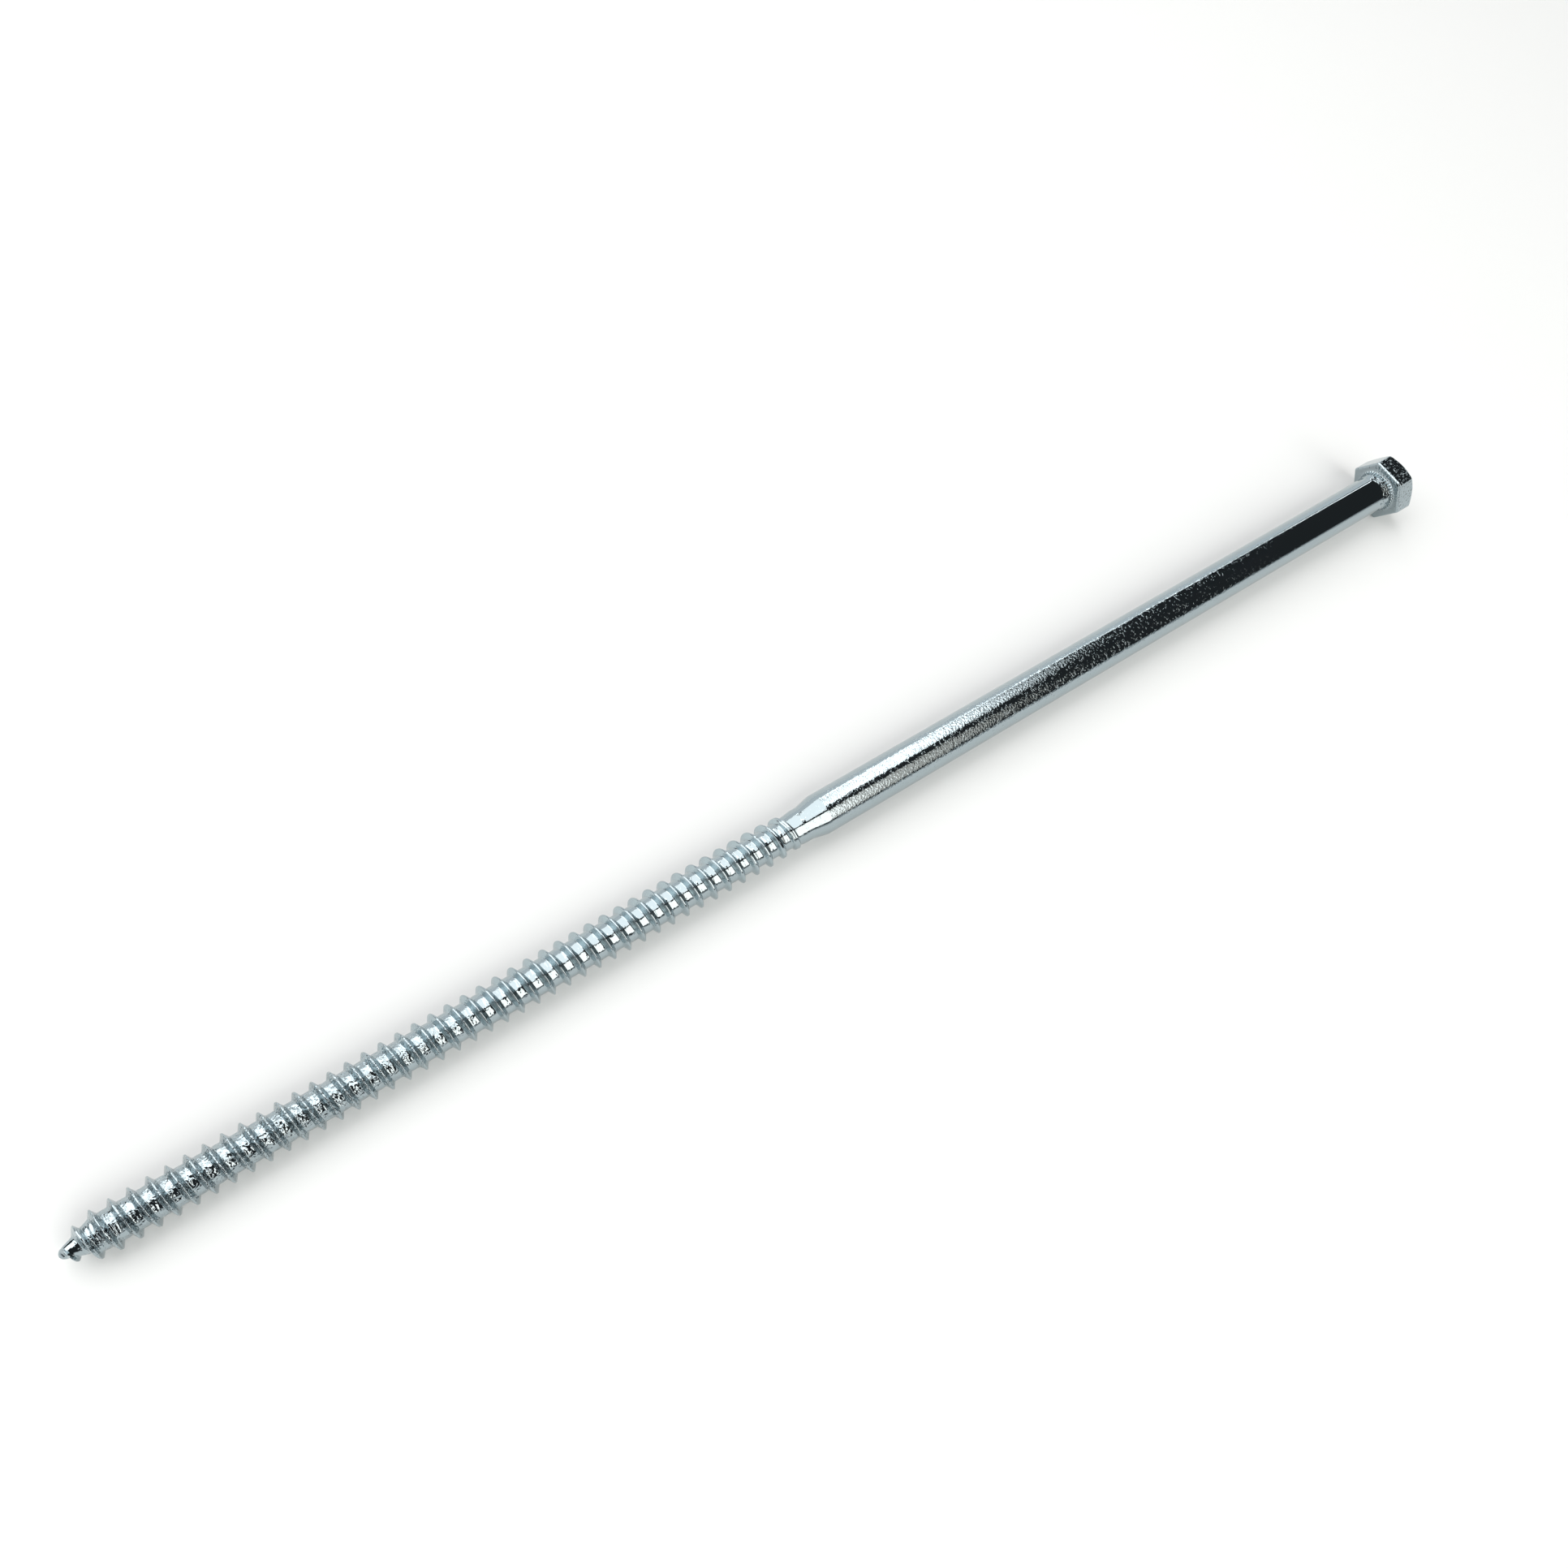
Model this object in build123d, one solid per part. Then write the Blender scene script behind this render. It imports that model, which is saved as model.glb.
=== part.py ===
"""A hex head lag screw, 3/8 in by 14 in, of zinc-plated steel.

One solid: gimlet point, coarse right-hand lag thread with its run-out, neck and
shoulder, plain shank, and a hex head with a chamfered end. The screw is modelled
upright with its point down, then laid on its side as it rests on a floor: on the
lower flat of the head and on the first full crest of the thread. All lengths are
in millimetres.
"""
import math
import os

from build123d import *

INCH = 25.4

# Driving dimensions of the screw.
LENGTH = 14 * INCH                # point to bearing face
BODY_DIAMETER = 0.375 * INCH      # plain shank
PITCH = INCH / 7                  # seven threads to the inch
CREST_DIAMETER = 9.4              # over the full thread
ROOT_DIAMETER = 6.9               # between the threads
NECK_DIAMETER = 7.9               # rolled-down length behind the last thread

# Blunt end of the point.
NUB_RADIUS = 0.75                 # of the point's cone, if it ran on to the very end
NUB_LENGTH = 0.45                 # of the rounding before the cone
NUB_FLAT = 0.35                   # radius of the flat at the very end

# The thread's own section.
FLANK_ANGLE = 30.0                # each flank, from square to the axis
RIDGE_SINK = 0.35                 # how far the ridge's base lies inside the core
FIRST_CREST_RISE = 0.15           # height of the ridge's start over the point's cone
CREST_GROWTH = 2.2                # how early the crest rises from the point: 1 is steadily
LAST_CREST_RISE = 0.12            # height of the ridge's end over the neck
PHASE = 0.84                      # part of a turn after which the crest is on the +X side

# Stations along the axis, in pitches from the point.
CONE_TURNS = 2.0                  # where the point's cone reaches the root diameter
FIRST_TURN = 0.15                 # where the ridge starts to rise from the point
FULL_TURN = 2.5                   # where the crest reaches its full diameter
FADE_TURN = 42.6                  # where the crest starts to fall towards the neck
LAST_TURN = 45.1                  # where the ridge ends on the neck
SWELL_TURN = 44.2                 # where the root starts to swell towards the neck
NECK_TURN = 45.3                  # where the core has the neck's diameter
SHOULDER_TURN = 45.85             # foot of the shoulder's cone
SHANK_TURN = 46.85                # edge where the cone meets the plain shank

# Head.
ACROSS_FLATS = 9 / 16 * INCH
HEAD_HEIGHT = 6.0
CHAMFER_ANGLE = 35.0              # of the head's outer end, from its flat top
CHAMFER_CIRCLE = 0.93             # flat top's circle, as a part of the width across flats
FLARE_DIAMETER = 10.5             # of the shank where it widens under the head
FLARE_LENGTH = 3.4                # of that widening
COLLAR = 0.6                      # height and width of the cone from there to the bearing face
BEARING_EDGE_ROUND = 0.5          # between the bearing face and the six flats

POINTS_PER_TURN = 16              # of the splines along the ridge's two changing ends


def core_radius(turn):
    """Radius of the threaded core at a station given in pitches from the point."""
    root = ROOT_DIAMETER / 2
    if turn < CONE_TURNS:
        return NUB_RADIUS + (root - NUB_RADIUS) * turn / CONE_TURNS
    swell = (turn - SWELL_TURN) / (NECK_TURN - SWELL_TURN)
    swell = min(max(swell, 0.0), 1.0)
    return root + (NECK_DIAMETER / 2 - root) * swell


def crest_radius(turn):
    """Radius of the ridge's top: rising at the point, full, then falling to the neck."""
    full = CREST_DIAMETER / 2
    if turn < FULL_TURN:
        start = core_radius(FIRST_TURN) + FIRST_CREST_RISE
        left = (FULL_TURN - turn) / (FULL_TURN - FIRST_TURN)
        return full - (full - start) * left**CREST_GROWTH
    if turn > FADE_TURN:
        end = NECK_DIAMETER / 2 + LAST_CREST_RISE
        return full + (end - full) * (turn - FADE_TURN) / (LAST_TURN - FADE_TURN)
    return full


def base_radius(turn):
    """Radius of the ridge's hidden base, just inside the core."""
    return core_radius(min(turn, CONE_TURNS)) - RIDGE_SINK


def half_width(turn):
    """Half the width of the ridge at its base."""
    height = crest_radius(turn) - base_radius(turn)
    return height * math.tan(math.radians(FLANK_ANGLE))


def ridge_solid(edges):
    """Close three long edges, base, crest and base, into a ridge with flat ends."""
    faces = [Face.make_surface_from_curves(edges[i - 1], edges[i]) for i in range(3)]
    for end in (0, 1):
        corners = [edge @ end for edge in edges]
        faces.append(Face(Wire.make_polygon(corners, close=True)))
    return Solid(Shell(faces))


def full_ridge():
    """Ridge of the full thread, along three helices."""
    height = (FADE_TURN - FULL_TURN) * PITCH
    edges = []
    for radius, side in ((base_radius, -1), (crest_radius, 0), (base_radius, 1)):
        shift = side * half_width(FULL_TURN)
        place = Pos(0, 0, FULL_TURN * PITCH + shift) * Rot(0, 0, 360 * (FULL_TURN - PHASE))
        edges.append((place * Helix(PITCH, height, radius(FULL_TURN))).edge())
    return ridge_solid(edges)


def changing_ridge(start, end):
    """Ridge whose height changes along its way, as at the point and the run-out."""
    steps = round((end - start) * POINTS_PER_TURN)
    turns = [start + (end - start) * step / steps for step in range(steps + 1)]
    edges = []
    for radius, side in ((base_radius, -1), (crest_radius, 0), (base_radius, 1)):
        points = []
        for turn in turns:
            angle = 2 * math.pi * (turn - PHASE)
            height = turn * PITCH + side * half_width(turn)
            points.append((radius(turn) * math.cos(angle), radius(turn) * math.sin(angle), height))
        edges.append(Spline(points).edge())
    return ridge_solid(edges)


def core():
    """Turned form under the thread, with point, neck, shoulder, shank and its flare."""
    root = ROOT_DIAMETER / 2
    neck = NECK_DIAMETER / 2
    body = BODY_DIAMETER / 2
    flare = FLARE_DIAMETER / 2
    inside = LENGTH + HEAD_HEIGHT / 2    # the core ends half-way up the head
    outline = [
        (0, 0),
        (NUB_FLAT, 0),
        (NUB_RADIUS, NUB_LENGTH),
        (root, CONE_TURNS * PITCH),
        (root, SWELL_TURN * PITCH),
        (neck, NECK_TURN * PITCH),
        (neck, SHOULDER_TURN * PITCH),
        (body, SHANK_TURN * PITCH),
        (body, LENGTH - COLLAR - FLARE_LENGTH),
        (flare, LENGTH - COLLAR),
        (flare + COLLAR, LENGTH),
        (flare + COLLAR, inside),
        (0, inside),
    ]
    return revolve(Plane.XZ * make_face(Polyline(outline, close=True)), Axis.Z)


def head():
    """Hex head with its outer end chamfered all round."""
    hexagon = RegularPolygon(ACROSS_FLATS / 2, 6, major_radius=False, rotation=30)
    prism = extrude(Pos(0, 0, LENGTH) * hexagon, HEAD_HEIGHT)
    bearing_edges = prism.edges().group_by(Axis.Z)[0]
    prism = fillet(bearing_edges, BEARING_EDGE_ROUND)
    circle = CHAMFER_CIRCLE * ACROSS_FLATS / 2
    reach = ACROSS_FLATS                 # wider than the head's corners
    drop = (reach - circle) * math.tan(math.radians(CHAMFER_ANGLE))
    below = drop + HEAD_HEIGHT           # lower than the bearing face
    outline = [(0, -below), (reach, -below), (reach, -drop), (circle, 0), (0, 0)]
    envelope = revolve(Plane.XZ * make_face(Polyline(outline, close=True)), Axis.Z)
    return prism & (Pos(0, 0, LENGTH + HEAD_HEIGHT) * envelope)


def rest_tilt():
    """Angle of the axis to the floor when the screw lies on its head and thread."""
    lowest = math.ceil(FULL_TURN - PHASE) + PHASE    # first full crest on the +X side
    run = LENGTH + BEARING_EDGE_ROUND - lowest * PITCH
    rise = ACROSS_FLATS / 2 - CREST_DIAMETER / 2
    return math.degrees(math.atan(rise / run))


def lay_down(screw):
    """Turn the upright screw onto its side, point towards -X, resting on z = 0."""
    laid = Rot(0, 90 - rest_tilt(), 0) * screw
    box = laid.bounding_box()
    centre = box.center()
    return Pos(-centre.X, -centre.Y, -box.min.Z) * laid


def lag_screw():
    """The whole screw as one solid, lying on the floor."""
    screw = core() + full_ridge()
    screw = screw + changing_ridge(FIRST_TURN, FULL_TURN)
    screw = screw + changing_ridge(FADE_TURN, LAST_TURN)
    screw = screw + head()
    return lay_down(screw)


os.makedirs("parts", exist_ok=True)
export_step(lag_screw(), "parts/lag_screw.step")
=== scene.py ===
"""Looks of a zinc-plated hex head lag screw, lying on a pale floor.

The screw is one mesh that stands for the CAD solid. It is laid out upright in
millimetres, with its point at zero and its axis along Z, and then laid down as the
solid lies. The threaded length is a grid that follows the helix, so that the crest
of the thread runs along one line of vertices; the rest is made of rings.
"""
import math

import bmesh
import bpy
import numpy as np
from mathutils import Matrix, Vector, noise


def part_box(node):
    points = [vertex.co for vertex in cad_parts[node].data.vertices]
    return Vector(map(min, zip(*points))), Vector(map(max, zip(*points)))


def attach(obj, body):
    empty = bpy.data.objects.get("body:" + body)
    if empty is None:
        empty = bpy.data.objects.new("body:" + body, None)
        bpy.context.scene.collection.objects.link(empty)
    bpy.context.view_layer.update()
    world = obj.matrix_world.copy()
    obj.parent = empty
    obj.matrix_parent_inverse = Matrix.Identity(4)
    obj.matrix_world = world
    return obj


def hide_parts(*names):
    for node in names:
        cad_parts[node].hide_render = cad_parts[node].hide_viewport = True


MM = 0.001
INCH = 25.4

# The screw, in millimetres.
LENGTH = 14 * INCH                # point to bearing face
PITCH = INCH / 7
CREST_RADIUS = 4.7                # of the full thread
ROOT_RADIUS = 3.45                # between the threads
NECK_RADIUS = 3.95                # rolled-down length behind the last thread
BODY_RADIUS = 0.375 * INCH / 2    # plain shank
NUB_RADIUS = 0.75                 # rounded end of the point

# Stations along the axis, in pitches from the point.
FIRST_TURN = 0.15                 # where the ridge starts to rise from the point
CONE_TURNS = 2.0                  # where the point's cone reaches the root
FULL_TURN = 2.5                   # where the crest reaches its full height
FADE_TURN = 42.6                  # where the crest starts to fall towards the neck
SWELL_TURN = 44.2                 # where the root starts to swell towards the neck
LAST_TURN = 45.1                  # where the ridge ends on the neck
NECK_TURN = 45.3                  # where the core has the neck's radius
END_TURN = 45.5                   # on the neck, where the thread's grid meets the rings
SHOULDER_TURN = 45.85             # foot of the shoulder's cone
SHANK_TURN = 46.85                # edge where the cone meets the plain shank
SEAT_TURN = LENGTH / PITCH        # the head's bearing face

# Radius of the threaded core by station.
CORE = (
    (0, NUB_RADIUS),
    (CONE_TURNS, ROOT_RADIUS),
    (SWELL_TURN, ROOT_RADIUS),
    (NECK_TURN, NECK_RADIUS),
)

# The thread's ridge.
PHASE = 0.84                      # part of a turn after which the crest is on the +X side
FIRST_CREST_RISE = 0.15           # of its start over the point's cone, in millimetres
LAST_CREST_RISE = 0.12            # of its end over the neck, in millimetres
CREST_GROWTH = 2.2                # how early the crest rises from the point: 1 is steadily
START_TURNS = 0.15                # over which it comes out of the point, in pitches
CLOSE_TURNS = 0.2                 # over which it sinks into the neck, in pitches
LEAST_WIDTH = 0.45                # next to the point, as a part of the full width
CUT_CROWN = 0.1                   # swell of a crest that is cut off, as a part of its height

# Groove along the last crests: half its width in pitches, and its depth by station, as
# a part of the ridge's height.
SEAM_WIDTH = 0.065
SEAM_DEPTHS = ((30, 0.0), (40, 0.05), (LAST_TURN, 0.1))

# Section of the ridge over half a pitch: offset from the crest and share of its height.
SECTION = (
    (0.0, 1.0),
    (0.03, 0.995),
    (0.045, 0.965),
    (0.06, 0.89),
    (0.095, 0.73),
    (0.13, 0.55),
    (0.17, 0.365),
    (0.21, 0.18),
    (0.24, 0.06),
    (0.265, 0.01),
    (0.30, 0.0),
    (0.5, 0.0),
)

# Dents of the roots between the threads, in millimetres; the depths are by station.
DENT_SIZE = 1.1
DENT_DEPTHS = ((1.0, 0.0), (2.8, 0.11), (11, 0.11), (16, 0.08), (24, 0.02), (NECK_TURN, 0.0))

# The shoulder's cone is rounded off at its foot and its edge, in millimetres.
CONE_ROUND = 0.15                 # from the foot or edge to the rings beside it
FOOT_RISE = 0.03
EDGE_DROP = 0.04
EDGE_RUN_OUT = 0.1                # from the edge to the full radius of the shank

# Under the head, in millimetres.
FLARE_RADIUS = 5.25
FLARE_LENGTH = 2.6                # a little shorter and steeper than the solid's
COLLAR = 0.6                      # height and width of the hollow from there to the seat

# Head, in millimetres and degrees.
FLAT_RADIUS = 9 / 32 * INCH       # half the width across flats
HEAD_HEIGHT = 6.0
FLATS = 6
FLAT_ANGLE = 360 / FLATS          # that each flat takes round the axis
CHAMFER_ANGLE = 35.0
CHAMFER_CIRCLE = 0.93             # flat top's circle, as a part of the width across flats
EDGE_ROUND = 0.5                  # between the bearing face and the flats
CORNER_ROUND = 0.4                # corners are cut back as far as this radius rounds them
BEVEL = 0.12                      # between a flat and the chamfer
HEAD_AXIS_HEIGHT = 7.14           # of the screw's axis over the floor, under the head

# The mesh. Rings beside an edge keep the smooth shading of the faces there flat.
COLUMN_ANGLES = (0.0, 5.0, 10.0, 15.0, 20.0, 25.0, 28.5, 30.0)    # from a flat's middle
SHANK_RINGS = 46                  # they carry the marks, whose strength changes there
FIRST_RING_GAP = 1.0              # from the shoulder's edge to these, in millimetres
LAST_RING_GAP = 0.4               # from these to the widening under the head
FLARE_RINGS = 6
COLLAR_STEPS = 4
SEAT_SHARES = (0.35, 0.7)         # of the way out over the bearing face
EDGE_STEPS = 5
FLAT_SHARES = (0.04, 0.35, 0.65, 0.93)    # of the way up a flat
CHAMFER_SHARES = (0.4, 0.85, 0.95)        # of the way in over the chamfer
TOP_SHARES = (0.96, 0.6, 0.2)     # of the radius of the flat top
WELD_DISTANCE = 0.002             # in millimetres, as the next
SHORTEST_EDGE = 0.001
SHARP_ANGLE = 38                  # between faces that meet in a sharp edge, in degrees

# Where the thread's flanks are dull and painted paler: by offset from the crest, and by
# station.
FLANK_OFFSETS = ((0.045, 0.0), (0.065, 1.0), (0.21, 1.0), (0.25, 0.0))
FLANK_STATIONS = ((2, 0.0), (4, 0.1), (11, 0.1), (18, 1.0), (44, 1.0), (44.5, 0.0))

# Strength of each mark in the plate at stations along the screw, in pitches.
MARKS = {
    "dented": ((0, 0.05), (1, 0.1), (3, 0.3), (6, 0.55), (11, 0.8), (14, 0.9), (17, 0.7),
               (24, 0.15), (SWELL_TURN, 0.06), (SHANK_TURN, 0.0)),
    "ringed": ((0.9, 0.0), (1.4, 1.0), (2.6, 1.0), (4, 0.2), (30, 0.1), (SWELL_TURN, 0.1),
               (NECK_TURN, 0.0)),
    "speckled": ((0.5, 0.0), (2, 0.8), (17, 0.7), (24, 0.08), (SHANK_TURN, 0.08),
                 (SHANK_TURN + 0.5, 0.35), (60, 0.43), (72, 0.34), (84, 0.22), (94, 0.0)),
    "beaded": ((SEAT_TURN - 0.35, 0.0), (SEAT_TURN - 0.25, 1.0), (SEAT_TURN - 0.05, 1.0),
               (SEAT_TURN, 0.0)),
    "wrinkled": ((SEAT_TURN - 0.95, 0.0), (SEAT_TURN - 0.75, 0.8), (SEAT_TURN + 0.2, 1.0)),
}
BEADS = 42.0                      # small pressed beads in a ring round the shank's end

# Zinc: roughness and colour away from the flanks, and on them. On the flanks the added
# roughness is a duller finish, and the paler colour is painted light that stands in for the
# floor they reflect.
ROUGHNESS = 0.06
FLANK_ROUGHNESS = 0.2             # added on the flanks
ZINC_COLOR = (0.36, 0.42, 0.443)
# painted light: a paler colour that stands in for the floor's light reflected by the flanks
FLANK_PAINTED_LIGHT_COLOR = (0.43, 0.51, 0.54)

# A Mix node has a set of sockets for each kind of data; these are the ones for colours.
MIX_FIRST, MIX_SECOND, MIX_RESULT = 6, 7, 2

FLOOR_HALF = 6.0                  # half the floor's width, in metres
FLOOR_COLOR = (0.62, 0.62, 0.615)
FLOOR_ROUGHNESS = 0.9
WORLD_COLOR = (0.03, 0.033, 0.035)

# Lights: name, then place, aim and size in metres, radiance and colour.
WHITE = (1, 1, 1)
COOL = (0.95, 0.98, 1.0)
LIGHTS = (
    # High over the far side.
    ("key_left", (-0.79, 0.5, 0.72), (-0.79, 0, 0), (1.18, 1.02), 2.8, WHITE),
    ("key", (-0.1, 0.34, 0.81), (-0.1, 0, 0), (0.2, 1.15), 2.8, WHITE),
    ("key_middle", (0.185, 0.336, 0.815), (0.185, 0, 0), (0.37, 1.35), 2.1, WHITE),
    ("key_right", (0.44, 0.48, 0.74), (0.44, 0, 0), (0.14, 0.98), 3.4, WHITE),
    ("key_edge", (0.56, 0.48, 0.74), (0.56, 0, 0), (0.1, 0.98), 1.0, WHITE),
    # High over the near side.
    ("near", (0.25, -0.92, 0.78), (0.25, 0, 0), (0.54, 1.19), 2.7, (1, 0.95, 0.9)),
    ("near_edge", (0.62, -0.92, 0.78), (0.62, 0, 0), (0.2, 1.19), 0.8, (1, 0.92, 0.84)),
    # Low walls beyond the point and the head, and along the near and the far side.
    ("left_wall", (-1.8, 0, 0.4), (0, 0, 0.4), (2.4, 0.8), 0.9, WHITE),
    ("right_wall", (1.9, 0, 0.4), (0, 0, 0.4), (1.9, 0.8), 0.9, WHITE),
    ("near_low", (0, -1.8, 0.12), (0, 0, 0.12), (4.0, 0.24), 0.5, COOL),
    ("backdrop", (0.9, 1.6, 0.45), (0.9, 0, 0.45), (3.0, 0.9), 1.0, COOL),
    # Narrow and bright, and then one that shows in no reflection.
    ("strip", (1.3, 1.25, 0.8), (0.1, 0, 0), (1.2, 0.03), 9.0, WHITE),
    ("fill", (-0.2, -1.2, 1.0), (0, 0, 0), (1.6, 1.6), 3.2, (0.95, 1, 0.99)),
)

# Camera: place and nearest distance in metres, angles in degrees, lens in millimetres.
CAMERA_PLACE = (-0.14347, -0.08951, 0.30554)
CAMERA_ANGLES = (27.319, -9.279, -35.328)
CAMERA_NEAREST = 0.01
CAMERA_LENS = 35.404
CAMERA_SENSOR = 36


def between(value, pairs):
    """The result for a value, from pairs of a value and its result in rising order."""
    values, results = zip(*pairs)
    return np.interp(value, values, results)


def placed(radius, angles, height):
    """Points round the axis from their radius, angle in turns and height."""
    around = 2 * np.pi * angles
    parts = np.broadcast_arrays(radius * np.cos(around), radius * np.sin(around), height)
    return np.stack(parts, axis=-1)


def column_angles():
    """Angles of the columns round the axis, in turns, closer together at the corners."""
    half = COLUMN_ANGLES
    flat = [-a for a in reversed(half[1:-1])] + list(half)
    degrees = [FLAT_ANGLE * side + a for side in range(FLATS) for a in flat]
    return np.sort(np.array(degrees) % 360) / 360


def core_radius(turn):
    """Radius of the core at stations given in pitches, with the point's end rounded."""
    depth = np.clip(NUB_RADIUS - turn * PITCH, 0, NUB_RADIUS)
    nub = np.sqrt(NUB_RADIUS**2 - depth**2)
    return between(turn, CORE) - (NUB_RADIUS - nub)


def ridge_height(turn):
    """Height of the crest over the core, at the crest's own station."""
    left = np.clip((FULL_TURN - turn) / (FULL_TURN - FIRST_TURN), 0, 1)
    start = core_radius(FIRST_TURN) + FIRST_CREST_RISE
    rising = CREST_RADIUS - (CREST_RADIUS - start) * left**CREST_GROWTH
    end = NECK_RADIUS + LAST_CREST_RISE
    falling = between(turn, ((FADE_TURN, CREST_RADIUS), (LAST_TURN, end)))
    height = np.clip(np.minimum(rising, falling) - core_radius(turn), 0, None)
    begun = np.clip((turn - FIRST_TURN) / START_TURNS, 0, 1)
    ended = np.clip((LAST_TURN - turn) / CLOSE_TURNS, 0, 1)
    return height * begun * ended


def ridge_rise(offset, crest_turn):
    """How far the ridge stands over the core, at an offset in pitches from its crest.

    Up to the run-out it is narrower where it is lower. In the run-out it keeps its
    width, and its top is cut off lower and lower.
    """
    height = ridge_height(crest_turn)
    full = CREST_RADIUS - ROOT_RADIUS
    before = crest_turn < FADE_TURN
    width = np.where(before, np.clip(height / full, LEAST_WIDTH, 1), 1.0)
    share = between(np.abs(offset / width), SECTION)
    whole = np.where(before, height, full)
    cut = height * (1 - CUT_CROWN + CUT_CROWN * share)
    rise = np.minimum(whole * share, cut)
    seam = between(crest_turn, SEAM_DEPTHS)
    return rise * (1 - seam * np.clip(1 - np.abs(offset) / SEAM_WIDTH, 0, 1))


def dents(turn, angles):
    """Dents in the core's surface, in millimetres: mostly inwards, so below zero."""
    places = placed(ROOT_RADIUS, angles, turn * PITCH).reshape(-1, 3) / DENT_SIZE
    lumps = np.array([noise.noise(place) for place in places.tolist()]).reshape(turn.shape)
    return between(turn, DENT_DEPTHS) * (lumps - 0.5)


def grid_faces(rows, columns, lead):
    """Faces of a grid closed round the axis.

    The last column meets the first one the given number of rows further on: one turn
    of the thread's rows in the helical grid, none between rings.
    """
    faces = []
    for row in range(rows - lead - 1):
        for column in range(columns):
            here = row * columns + column
            side = here + 1
            if column == columns - 1:
                side = (row + lead) * columns
            faces.append((here, side, side + columns, here + columns))
    return faces


def threaded_grid(angles):
    """Vertices and faces of the threaded length, on a grid that follows the helix."""
    half = [offset for offset, share in SECTION]
    offsets = np.array([-o for o in reversed(half[1:-1])] + half)
    per_turn = len(offsets)
    # Rows beyond either end are clipped to it, and are welded away later.
    first, last = -2, math.ceil(END_TURN) + 1
    crests = np.repeat(np.arange(first, last), per_turn)
    row_offset = np.tile(offsets, last - first)
    crest_turn = crests[:, None] + PHASE + angles[None, :]
    turn = np.clip(crest_turn + row_offset[:, None], 0, END_TURN)
    offset = turn - crest_turn
    radius = core_radius(turn) + ridge_rise(offset, crest_turn)
    radius = radius + dents(turn, angles) * (1 - between(np.abs(offset), SECTION))
    points = placed(radius, angles, turn * PITCH).reshape(-1, 3)
    return points, grid_faces(len(crests), len(angles), per_turn)


def hex_radius(angles):
    """Distance of the head's side from the axis, with its corners cut back."""
    half = FLAT_ANGLE / 2
    off_flat = (angles * 360 + half) % FLAT_ANGLE - half
    radius = FLAT_RADIUS / np.cos(np.radians(off_flat))
    corner = FLAT_RADIUS / math.cos(math.radians(half))
    cut = CORNER_ROUND * (1 / math.cos(math.radians(half)) - 1)
    return np.minimum(radius, corner - cut)


def quarter(steps):
    """Angles in radians from 0 to a right angle, both included."""
    return np.radians(np.linspace(0, 90, steps + 1))


def shank_rings():
    """Radius and height of each ring from the end of the thread to the head's seat."""
    foot, edge = SHOULDER_TURN * PITCH, SHANK_TURN * PITCH
    rings = [
        (NECK_RADIUS, END_TURN * PITCH),
        (NECK_RADIUS, foot - CONE_ROUND),
        (NECK_RADIUS + FOOT_RISE, foot + CONE_ROUND),
        (BODY_RADIUS - EDGE_DROP, edge - CONE_ROUND),
        (BODY_RADIUS, edge + EDGE_RUN_OUT),
    ]
    top = LENGTH - COLLAR
    last = top - FLARE_LENGTH - LAST_RING_GAP
    for height in np.linspace(edge + FIRST_RING_GAP, last, SHANK_RINGS):
        rings.append((BODY_RADIUS, height))
    for share in np.linspace(0, 1, FLARE_RINGS):
        radius = BODY_RADIUS + (FLARE_RADIUS - BODY_RADIUS) * share
        rings.append((radius, top - FLARE_LENGTH * (1 - share)))
    for a in quarter(COLLAR_STEPS)[1:]:
        radius = FLARE_RADIUS + COLLAR * (1 - math.cos(a))
        rings.append((radius, LENGTH - COLLAR * (1 - math.sin(a))))
    return rings


def head_rings(side):
    """Radius and height of each ring over the head, whose side is at the given radius."""
    rings = []
    inner = FLARE_RADIUS + COLLAR
    for share in SEAT_SHARES:
        rings.append((inner + share * (side - EDGE_ROUND - inner), LENGTH))
    for a in quarter(EDGE_STEPS):
        radius = side - EDGE_ROUND * (1 - math.sin(a))
        rings.append((radius, LENGTH + EDGE_ROUND * (1 - math.cos(a))))
    circle = CHAMFER_CIRCLE * FLAT_RADIUS
    slope = math.tan(math.radians(CHAMFER_ANGLE))
    end = LENGTH + HEAD_HEIGHT
    top = end - (side - circle) * slope
    for share in FLAT_SHARES:
        rings.append((side, LENGTH + EDGE_ROUND + share * (top - LENGTH - EDGE_ROUND)))
    rings.append((side, top - BEVEL))
    chamfer = [side + share * (circle - side) for share in CHAMFER_SHARES]
    for radius in [side - BEVEL] + chamfer:
        rings.append((radius, end - (radius - circle) * slope))
    for share in TOP_SHARES:
        rings.append((circle * share, end))
    return rings


def ring_grid(rings, angles):
    """Vertices and faces of rings laid one after another, closed at the last one."""
    points = np.concatenate([placed(radius, angles, height) for radius, height in rings])
    columns = len(angles)
    faces = grid_faces(len(rings), columns, 0)
    faces.append(tuple(range(len(points) - columns, len(points))))
    return points, faces


def upright_mesh():
    """The whole screw as one closed mesh in millimetres, standing on its point."""
    angles = column_angles()
    thread_points, thread_faces = threaded_grid(angles)
    rings = shank_rings() + head_rings(hex_radius(angles))
    ring_points, ring_faces = ring_grid(rings, angles)
    shift = len(thread_points)
    ring_faces = [tuple(shift + i for i in face) for face in ring_faces]
    points = np.concatenate((thread_points, ring_points))
    mesh = bpy.data.meshes.new("lag_screw_dressed")
    mesh.from_pydata(points.tolist(), [], thread_faces + ring_faces)
    build = bmesh.new()
    build.from_mesh(mesh)
    bmesh.ops.remove_doubles(build, verts=build.verts, dist=WELD_DISTANCE)
    bmesh.ops.dissolve_degenerate(build, edges=build.edges, dist=SHORTEST_EDGE)
    bmesh.ops.recalc_face_normals(build, faces=build.faces)
    build.to_mesh(mesh)
    build.free()
    return mesh


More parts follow.
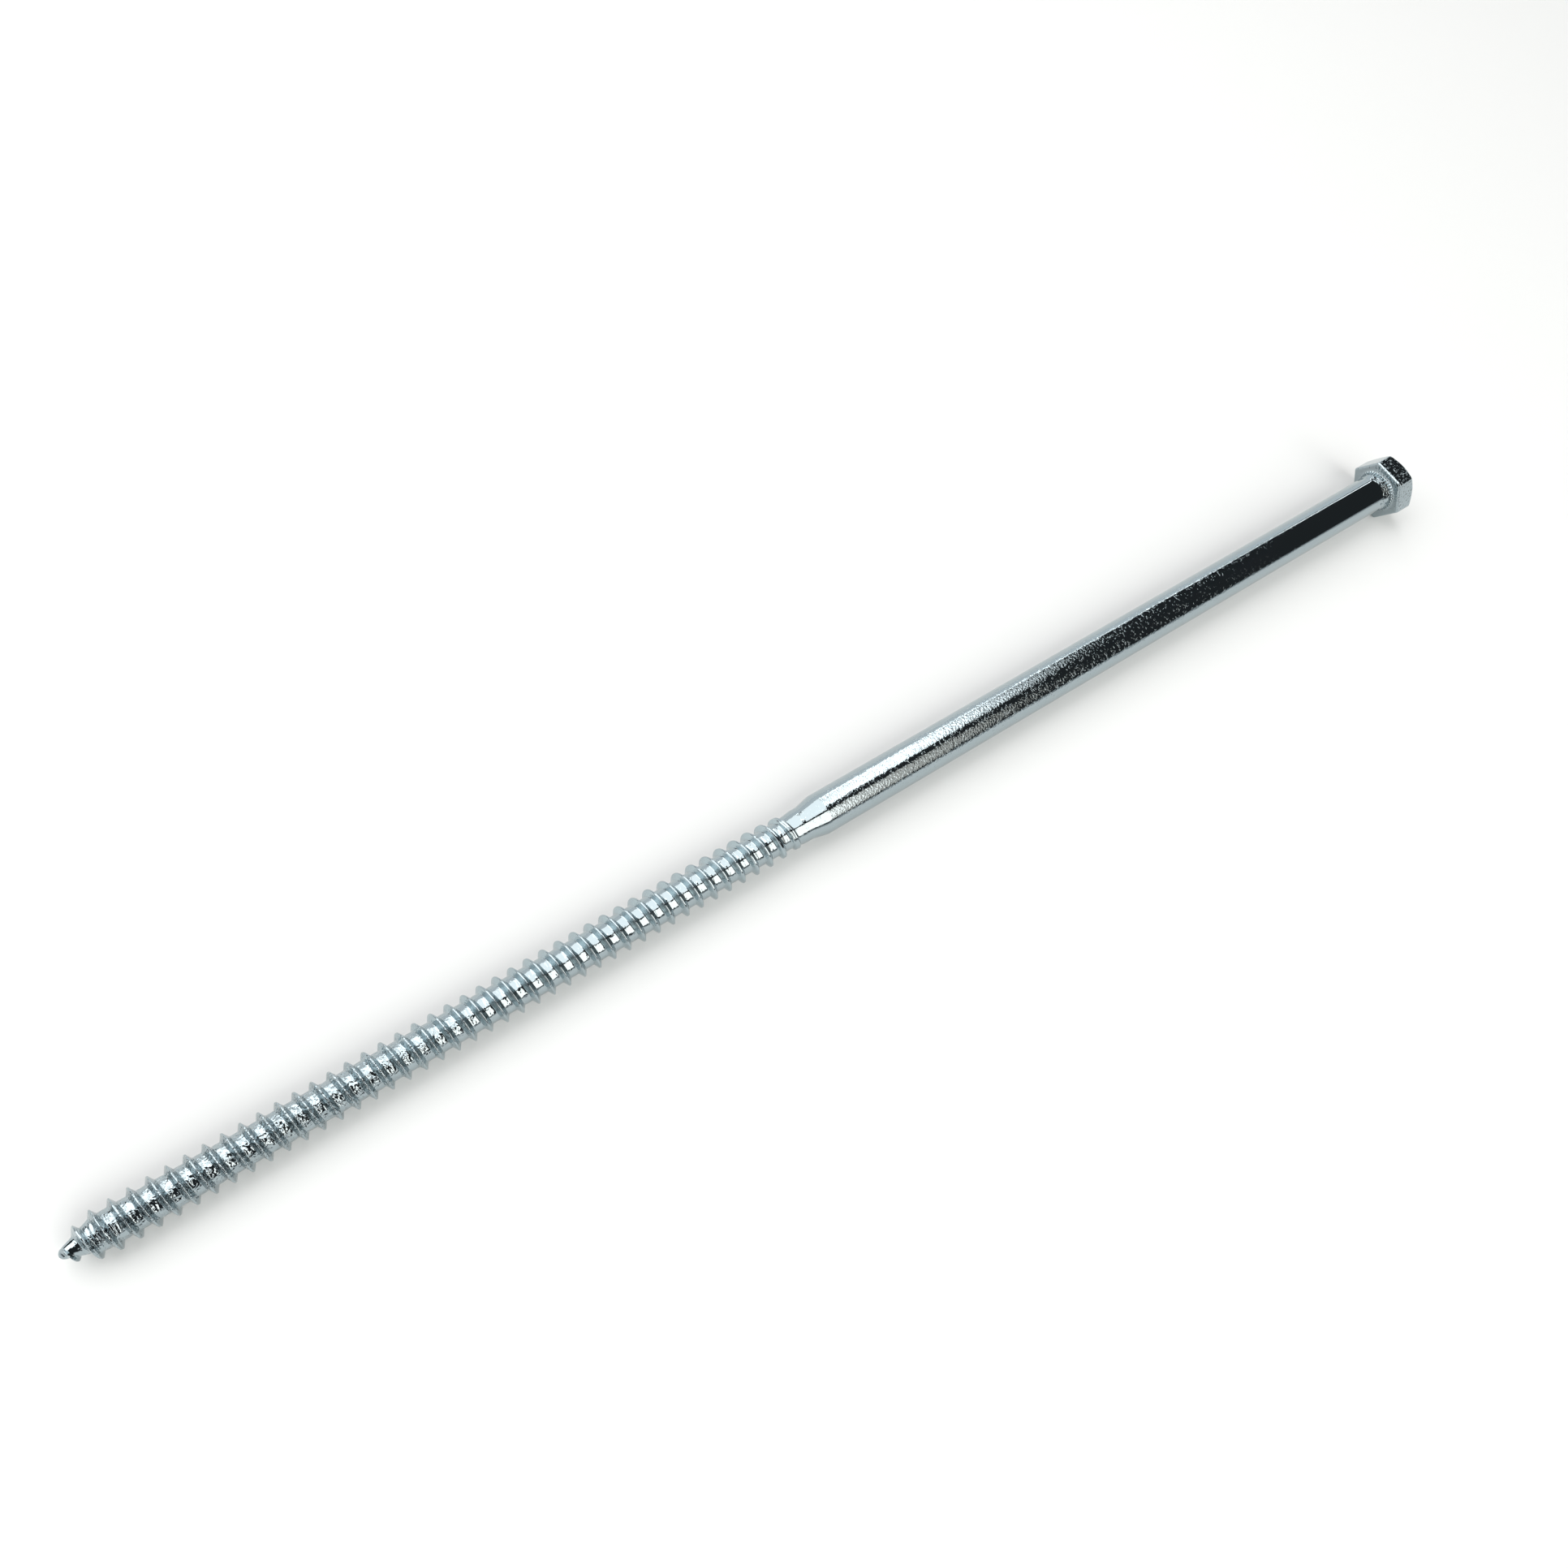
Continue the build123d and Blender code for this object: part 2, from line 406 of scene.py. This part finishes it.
def lay_down(mesh):
    """Turn the upright screw to metres and to where the solid lies on the floor."""
    lowest = math.ceil(FULL_TURN - PHASE) + PHASE    # first full crest on the +X side
    run = LENGTH + EDGE_ROUND - lowest * PITCH
    tilt = math.atan((FLAT_RADIUS - CREST_RADIUS) / run)
    mesh.transform(Matrix.Rotation(math.pi / 2 - tilt, 4, "Y") @ Matrix.Scale(MM, 4))
    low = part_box("lag_screw")[0]
    points = positions(mesh)
    shift = (low[0] - points[:, 0].min(), 0, low[2] - points[:, 2].min())
    mesh.transform(Matrix.Translation(shift))


def positions(mesh):
    """Places of the mesh's vertices as an array."""
    return np.array([v.co for v in mesh.vertices])


def note(mesh, name, values):
    """Keep a value for each vertex, under a name that the material reads."""
    attribute = mesh.attributes.new(name, "FLOAT", "POINT")
    attribute.data.foreach_set("value", values.astype(np.float32))


def mark_flanks(mesh):
    """Note on each vertex of the upright screw how far it lies on a flank, which is dull and
    painted paler.
    """
    points = positions(mesh)
    turn = points[:, 2] / PITCH
    around = np.arctan2(points[:, 1], points[:, 0]) / (2 * np.pi)
    offset = np.abs((turn - PHASE - around + 0.5) % 1 - 0.5)
    note(mesh, "flank", between(offset, FLANK_OFFSETS) * between(turn, FLANK_STATIONS))


def mark_stations(mesh):
    """Note each mark's strength on the vertices of the lying screw, by their station."""
    along = positions(mesh)[:, 0] / MM
    station = (along - along.min()) / PITCH
    for name, strengths in MARKS.items():
        note(mesh, name, between(station, strengths))


def screw_mesh():
    """The screw's mesh in its place on the floor, with its marks and sharp edges."""
    mesh = upright_mesh()
    mark_flanks(mesh)
    lay_down(mesh)
    mesh.shade_smooth()
    mesh.set_sharp_from_angle(angle=math.radians(SHARP_ANGLE))
    mark_stations(mesh)
    return mesh


class Graph:
    """Nodes of one material, whose patterns are fixed to the object's own axes."""

    def __init__(self, name):
        self.material = bpy.data.materials.new(name)
        self.material.use_nodes = True
        self.nodes = self.material.node_tree.nodes
        self.links = self.material.node_tree.links
        self.shader = self.nodes["Principled BSDF"]
        self.place = self.nodes.new("ShaderNodeTexCoord").outputs["Object"]

    def attribute(self, name):
        """Value noted on the vertices under a name."""
        node = self.nodes.new("ShaderNodeAttribute")
        node.attribute_name = name
        return node.outputs["Fac"]

    def noise(self, size):
        """Noise whose features are about the given size in millimetres."""
        node = self.nodes.new("ShaderNodeTexNoise")
        node.inputs["Scale"].default_value = 1 / (size * MM)
        node.inputs["Detail"].default_value = 1
        self.links.new(self.place, node.inputs["Vector"])
        return node.outputs["Fac"]

    def waves(self, spacing, distortion, detail):
        """Bands across the screw, a spacing in millimetres apart, and bent by noise."""
        node = self.nodes.new("ShaderNodeTexWave")
        node.bands_direction = "X"
        # At a scale of 1 the bands are tau / 20 apart.
        node.inputs["Scale"].default_value = math.tau / 20 / (spacing * MM)
        node.inputs["Distortion"].default_value = distortion
        node.inputs["Detail"].default_value = detail
        node.inputs["Detail Scale"].default_value = 1.0
        self.links.new(self.place, node.inputs["Vector"])
        return node.outputs["Fac"]

    def calculate(self, operation, first, second=0.0):
        """Result of a calculation with one output and a second output or number."""
        node = self.nodes.new("ShaderNodeMath")
        node.operation = operation
        self.links.new(first, node.inputs[0])
        if isinstance(second, float):
            node.inputs[1].default_value = second
        else:
            self.links.new(second, node.inputs[1])
        return node.outputs[0]

    def step(self, value, low, high):
        """Smooth step of a value from 0 at the low number to 1 at the high one."""
        node = self.nodes.new("ShaderNodeMapRange")
        node.interpolation_type = "SMOOTHSTEP"
        node.inputs["From Min"].default_value = low
        node.inputs["From Max"].default_value = high
        self.links.new(value, node.inputs["Value"])
        return node.outputs["Result"]

    def mix(self, share, first, second):
        """Colour between two colours, the second of them where the share is 1."""
        node = self.nodes.new("ShaderNodeMix")
        node.data_type = "RGBA"
        self.links.new(share, node.inputs["Factor"])
        node.inputs[MIX_FIRST].default_value = (*first, 1)
        node.inputs[MIX_SECOND].default_value = (*second, 1)
        return node.outputs[MIX_RESULT]

    def bump(self, height, mark, depth, under=None):
        """Normal with a bump of a depth in millimetres where the mark is, over another."""
        node = self.nodes.new("ShaderNodeBump")
        node.inputs["Distance"].default_value = depth * MM
        self.links.new(self.attribute(mark), node.inputs["Strength"])
        self.links.new(height, node.inputs["Height"])
        if under is not None:
            self.links.new(under, node.inputs["Normal"])
        return node.outputs["Normal"]

    def ring_of_beads(self, count):
        """Waves round the screw's axis, one to a bead."""
        node = self.nodes.new("ShaderNodeSeparateXYZ")
        self.links.new(self.place, node.inputs["Vector"])
        height = self.calculate("SUBTRACT", node.outputs["Z"], HEAD_AXIS_HEIGHT * MM)
        around = self.calculate("ARCTAN2", height, node.outputs["Y"])
        return self.calculate("SINE", self.calculate("MULTIPLY", around, count))


def zinc():
    """Bright zinc plate with dents, rolling marks, speckle, pits, wrinkles and beads, and
    painted light on the flanks.
    """
    graph = Graph("zinc_plate")
    shader = graph.shader
    shader.inputs["Metallic"].default_value = 1.0
    normal = graph.bump(graph.noise(size=0.85), "dented", depth=0.5)
    rolled = graph.waves(spacing=0.8, distortion=3.0, detail=2.0)
    normal = graph.bump(rolled, "ringed", depth=0.1, under=normal)
    normal = graph.bump(graph.noise(size=0.5), "speckled", depth=0.09, under=normal)
    pits = graph.step(graph.noise(size=0.7), low=0.6, high=0.66)
    normal = graph.bump(pits, "speckled", depth=0.06, under=normal)
    wrinkles = graph.step(graph.noise(size=0.65), low=0.5, high=0.7)
    normal = graph.bump(wrinkles, "wrinkled", depth=0.045, under=normal)
    beads = graph.ring_of_beads(BEADS)
    normal = graph.bump(beads, "beaded", depth=0.1, under=normal)
    graph.links.new(normal, shader.inputs["Normal"])
    flank = graph.attribute("flank")
    dull = graph.calculate("MULTIPLY", flank, FLANK_ROUGHNESS)
    dull = graph.calculate("ADD", dull, ROUGHNESS)
    graph.links.new(dull, shader.inputs["Roughness"])
    # The flanks get the paler colour: a painted reflection of the floor's light.
    painted_flank_light = graph.mix(flank, ZINC_COLOR, FLANK_PAINTED_LIGHT_COLOR)
    graph.links.new(painted_flank_light, shader.inputs["Base Color"])
    return graph.material


def plain(name, color, roughness):
    """A plain matt material."""
    material = bpy.data.materials.new(name)
    material.use_nodes = True
    shader = material.node_tree.nodes["Principled BSDF"]
    shader.inputs["Base Color"].default_value = (*color, 1)
    shader.inputs["Roughness"].default_value = roughness
    return material


def show(name, data):
    """Put data into the scene as an object of that name."""
    piece = bpy.data.objects.new(name, data)
    bpy.context.scene.collection.objects.link(piece)
    return piece


def floor():
    """Pale floor under the screw."""
    mesh = bpy.data.meshes.new("floor")
    half = FLOOR_HALF
    corners = [(-half, -half, 0), (half, -half, 0), (half, half, 0), (-half, half, 0)]
    mesh.from_pydata(corners, [], [(0, 1, 2, 3)])
    piece = show("floor", mesh)
    mesh.materials.append(plain("floor_white", FLOOR_COLOR, FLOOR_ROUGHNESS))


def softbox(name, place, aim, size, radiance, color):
    """A rectangular studio light at a place, facing a point, as bright as said."""
    light = bpy.data.lights.new(name, "AREA")
    light.shape = "RECTANGLE"
    light.size, light.size_y = size
    light.energy = radiance * math.pi * size[0] * size[1]
    light.color = color
    lamp = show(name, light)
    lamp.location = place
    way = Vector(aim) - Vector(place)
    lamp.rotation_euler = way.to_track_quat("-Z", "Y").to_euler()


def lights():
    """Softboxes whose reflections are the screw's bands, in dark surroundings."""
    for row in LIGHTS:
        softbox(*row)
    bpy.data.objects["fill"].visible_glossy = False    # it lights the floor alone
    world = bpy.data.worlds.new("studio")
    world.use_nodes = True
    background = world.node_tree.nodes["Background"]
    background.inputs["Color"].default_value = (*WORLD_COLOR, 1)
    bpy.context.scene.world = world


def camera():
    """Camera above the screw, looking down its length from the point's side."""
    data = bpy.data.cameras.new("camera")
    data.sensor_width = CAMERA_SENSOR
    data.lens = CAMERA_LENS
    data.clip_start = CAMERA_NEAREST
    piece = show("camera", data)
    piece.location = CAMERA_PLACE
    piece.rotation_euler = [math.radians(a) for a in CAMERA_ANGLES]
    bpy.context.scene.camera = piece


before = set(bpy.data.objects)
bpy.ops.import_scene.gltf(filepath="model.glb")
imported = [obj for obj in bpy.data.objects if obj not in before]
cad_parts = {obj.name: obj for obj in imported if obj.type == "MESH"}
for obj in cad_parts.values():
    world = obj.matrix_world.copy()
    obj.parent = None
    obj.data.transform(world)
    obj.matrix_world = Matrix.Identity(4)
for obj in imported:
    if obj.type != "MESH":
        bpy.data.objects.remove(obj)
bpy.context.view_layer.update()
screw = show("lag_screw_dressed", screw_mesh())
screw.data.materials.append(zinc())
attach(screw, "root")
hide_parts("lag_screw")
floor()
lights()
camera()
bpy.context.scene.view_settings.view_transform = "Standard"
